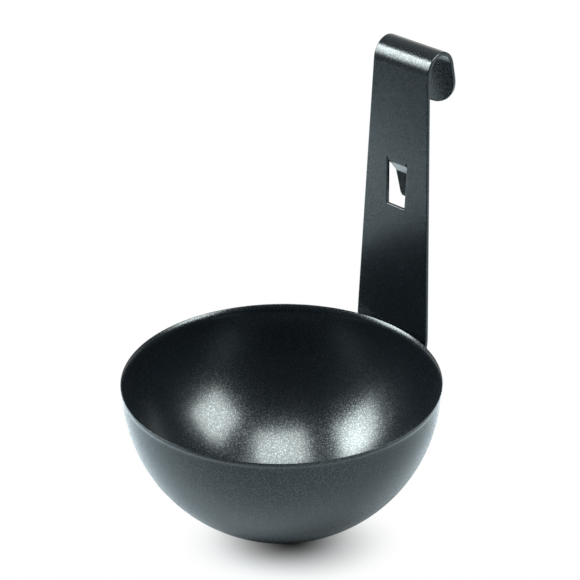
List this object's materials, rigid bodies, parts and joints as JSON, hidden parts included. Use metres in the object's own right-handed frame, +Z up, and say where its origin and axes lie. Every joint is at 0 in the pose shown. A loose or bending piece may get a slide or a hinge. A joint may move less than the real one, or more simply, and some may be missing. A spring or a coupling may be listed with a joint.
{
  "type": "hanging egg poacher cup",
  "caption": "Half-round black coated steel cup on a flat foot, with a tall stamped strip bent into a hook, for hanging over a pan's rim to poach an egg.",
  "frame": {"origin": "middle of the flat foot's underside", "axes": "+Z up through the cup's mouth, +Y from the cup's middle towards the hanger strip, +X across the strip"},
  "size_m": [0.08, 0.0945, 0.1143],
  "materials": {
    "black_coating": "satin black non-stick coating with a fine metal flake, on pressed steel"
  },
  "bodies": {
    "root": {"cup": "black_coating", "hanger_strip": "black_coating", "spot_weld_left": "black_coating", "spot_weld_right": "black_coating", "spot_weld_lower": "black_coating"}
  },
  "joints": []
}
